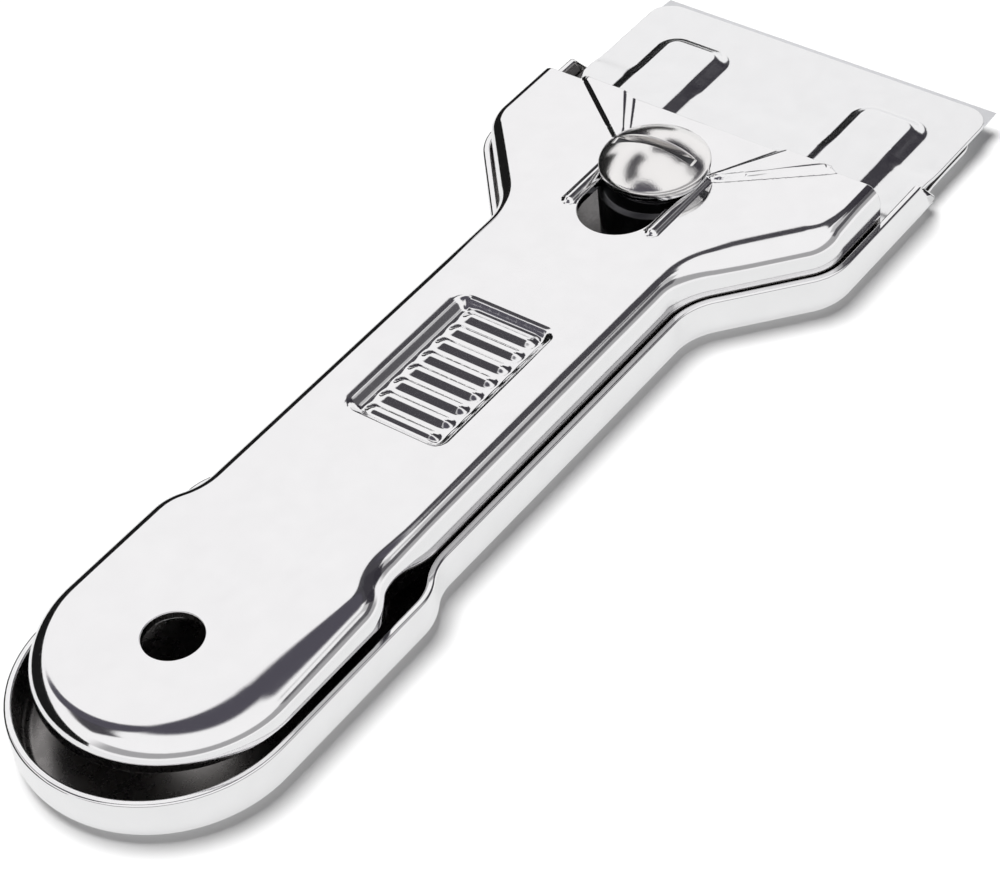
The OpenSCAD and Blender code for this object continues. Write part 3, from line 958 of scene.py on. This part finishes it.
def make_world():
    """A white studio with soft dark cards round it, dimmer for the light that falls on the floor."""
    world = bpy.data.worlds.new("studio")
    bpy.context.scene.world = world
    world.use_nodes = True
    nodes = world.node_tree.nodes
    links = world.node_tree.links
    nodes.clear()
    ray = nodes.new("ShaderNodeTexCoord").outputs["Generated"]
    split = nodes.new("ShaderNodeSeparateXYZ")
    links.new(ray, split.inputs[0])
    height = split.outputs["Z"]
    level_ray = nodes.new("ShaderNodeVectorMath")
    level_ray.operation = "MULTIPLY"
    level_ray.inputs[1].default_value = (1, 1, 0)
    links.new(ray, level_ray.inputs[0])
    heading = nodes.new("ShaderNodeVectorMath")
    heading.operation = "NORMALIZE"
    links.new(level_ray.outputs["Vector"], heading.inputs[0])

    def card(low, high, fade, azimuth, spread, side_fade, strength):
        """A dark card between two elevations, about an azimuth, with soft edges."""
        z = [math.sin(math.radians(e)) for e in (low - fade, low, high, high + fade)]
        above = soft_step(nodes, links, height, z[0], z[1])
        below = math_node(nodes, links, "SUBTRACT", 1, soft_step(nodes, links, height, z[2], z[3]))
        band = math_node(nodes, links, "MULTIPLY", above, below)
        a = math.radians(azimuth)
        facing = nodes.new("ShaderNodeVectorMath")
        facing.operation = "DOT_PRODUCT"
        facing.inputs[1].default_value = (math.cos(a), math.sin(a), 0)
        links.new(heading.outputs["Vector"], facing.inputs[0])
        sides = soft_step(nodes, links, facing.outputs["Value"],
                          math.cos(math.radians(spread + side_fade)), math.cos(math.radians(spread)))
        shape = math_node(nodes, links, "MULTIPLY", band, sides)
        return math_node(nodes, links, "MULTIPLY", shape, strength)

    darkness = 0
    for values in STUDIO_CARDS:
        darkness = math_node(nodes, links, "MAXIMUM", darkness, card(*values))
    tone = nodes.new("ShaderNodeMix")
    tone.data_type = "RGBA"
    tone.inputs["A"].default_value = (0.006, 0.003, 0.012, 1)
    tone.inputs["B"].default_value = (1, 0.99, 0.995, 1)
    links.new(math_node(nodes, links, "SUBTRACT", 1, darkness), tone.inputs["Factor"])
    studio = nodes.new("ShaderNodeBackground")
    links.new(tone.outputs["Result"], studio.inputs["Color"])
    path = nodes.new("ShaderNodeLightPath")
    dimming = math_node(nodes, links, "MULTIPLY", path.outputs["Is Diffuse Ray"], 0.8)
    links.new(math_node(nodes, links, "SUBTRACT", 1, dimming), studio.inputs["Strength"])
    plain = nodes.new("ShaderNodeBackground")
    plain.inputs["Color"].default_value = (1, 1, 1, 1)
    seen = mixed_shader(nodes, links, path.outputs["Is Camera Ray"], studio.outputs[0], plain.outputs[0])
    links.new(seen, nodes.new("ShaderNodeOutputWorld").inputs["Surface"])


def stage_card(name, wide, high, place, tilt, colour):
    """A studio card near the object, which only mirrors in it. Returns its nodes, links and glow."""
    x, y = wide * MM / 2, high * MM / 2
    mesh = bpy.data.meshes.new(name)
    mesh.from_pydata([(-x, -y, 0), (x, -y, 0), (x, y, 0), (-x, y, 0)], [], [(0, 1, 2, 3)])
    piece = bpy.data.objects.new(name, mesh)
    piece.location = Vector(place) * MM
    piece.rotation_euler.x = math.radians(tilt)
    bpy.context.collection.objects.link(piece)
    material, nodes, links, _ = new_material(name)
    glow = nodes.new("ShaderNodeEmission")
    glow.inputs["Color"].default_value = (*colour, 1)
    links.new(glow.outputs[0], nodes["Material Output"].inputs["Surface"])
    mesh.materials.append(material)
    for ray in ("camera", "diffuse", "transmission", "volume_scatter", "shadow"):
        setattr(piece, "visible_" + ray, False)
    return nodes, links, glow


# Centre from the middle of the cloth, half length and half width in millimetres, then turn in degrees
CLOTH_ELLIPSES = ((12, -17, 22.5, 15, 90), (-11, -6, 18, 18, 0), (-22, 26, 26, 11.5, 90))


def make_cards():
    """Two dark cards along the left side, and a soft dark cloth over the rear end."""
    left_y = 45
    for name, low, high, tall in (("rear_side_card", -160, 38, 34), ("front_side_card", 38, 122, 20)):
        stage_card(name, high - low, tall, ((low + high) / 2, left_y, tall / 2), 90, (0.01, 0.01, 0.01))
    nodes, links, glow = stage_card("overhead_cloth", 120, 140, (-20, 10, 60), 0, (0.085, 0.08, 0.1))
    coords = nodes.new("ShaderNodeTexCoord").outputs["Object"]
    cover = 0
    for x, y, long, short, turn in CLOTH_ELLIPSES:
        place = nodes.new("ShaderNodeMapping")
        place.vector_type = "TEXTURE"
        place.inputs["Location"].default_value = (x * MM, y * MM, 0)
        place.inputs["Rotation"].default_value = (0, 0, math.radians(turn))
        place.inputs["Scale"].default_value = (long * MM, short * MM, 1)
        links.new(coords, place.inputs["Vector"])
        away = nodes.new("ShaderNodeVectorMath")
        away.operation = "LENGTH"
        links.new(place.outputs["Vector"], away.inputs[0])
        ellipse = soft_step(nodes, links, away.outputs["Value"], 1.22, 0.82)
        cover = math_node(nodes, links, "MAXIMUM", cover, ellipse)
    clear = nodes.new("ShaderNodeBsdfTransparent")
    links.new(mixed_shader(nodes, links, cover, clear.outputs[0], glow.outputs[0]),
              nodes["Material Output"].inputs["Surface"])


def make_lamp():
    """A soft key light from above and a little to the left, which throws the shadow to the right."""
    data = bpy.data.lights.new("key", "SUN")
    data.angle = math.radians(36)
    data.energy = 3.9
    lamp = bpy.data.objects.new("key", data)
    lamp.location = (0.03, 0.22, 0.95)
    lamp.rotation_euler = (-lamp.location).to_track_quat("-Z", "Y").to_euler()
    lamp.visible_glossy = False
    bpy.context.collection.objects.link(lamp)


make_floor()
make_world()
make_cards()
make_lamp()

bpy.context.scene.view_settings.view_transform = "Standard"
